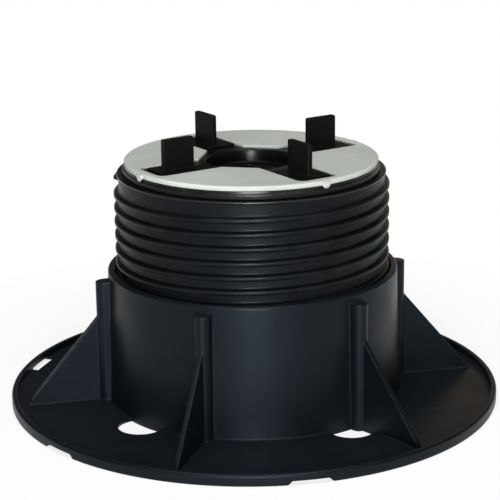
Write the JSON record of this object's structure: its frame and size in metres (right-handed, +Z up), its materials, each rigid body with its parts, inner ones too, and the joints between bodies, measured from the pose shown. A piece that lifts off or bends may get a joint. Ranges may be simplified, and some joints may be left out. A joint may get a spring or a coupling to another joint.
{
  "type": "adjustable deck pedestal",
  "caption": "Screw-adjustable deck pedestal: ribbed flanged base, hollow threaded column and swivel head with a soft pad and upright spacer tabs for paver corners.",
  "frame": {"origin": "centre of the base's underside", "axes": "+Z up along the screw axis, spacer tabs along X and Y"},
  "size_m": [0.2, 0.2, 0.1113],
  "materials": {
    "base_plastic": "blue-black moulded polypropylene, semi-gloss",
    "screw_plastic": "black moulded polypropylene, semi-gloss",
    "head_plastic": "black moulded polypropylene, satin",
    "pad_rubber": "light grey soft elastomer, matt",
    "tab_plastic": "black moulded polypropylene, satin"
  },
  "bodies": {
    "base": {"base": "base_plastic"},
    "head": {"head": "head_plastic", "pad": "pad_rubber", "spacer_tab_1": "tab_plastic", "spacer_tab_2": "tab_plastic", "spacer_tab_3": "tab_plastic", "spacer_tab_4": "tab_plastic"},
    "screw": {"screw": "screw_plastic"}
  },
  "joints": [
    {"name": "head_rise", "type": "slide", "parent": "base", "child": "head", "axis": [0, 0, 1], "range_m": [-0.04, 0]},
    {"name": "screw_turn", "type": "hinge", "parent": "head", "child": "screw", "pos_m": [0, 0, 0], "axis": [0, 0, 1], "range_deg": [-2562, 0]}
  ],
  "couplings": [
    {"joint": "head_rise", "follows": "screw_turn", "m_per_rad": 0.00089445}
  ]
}
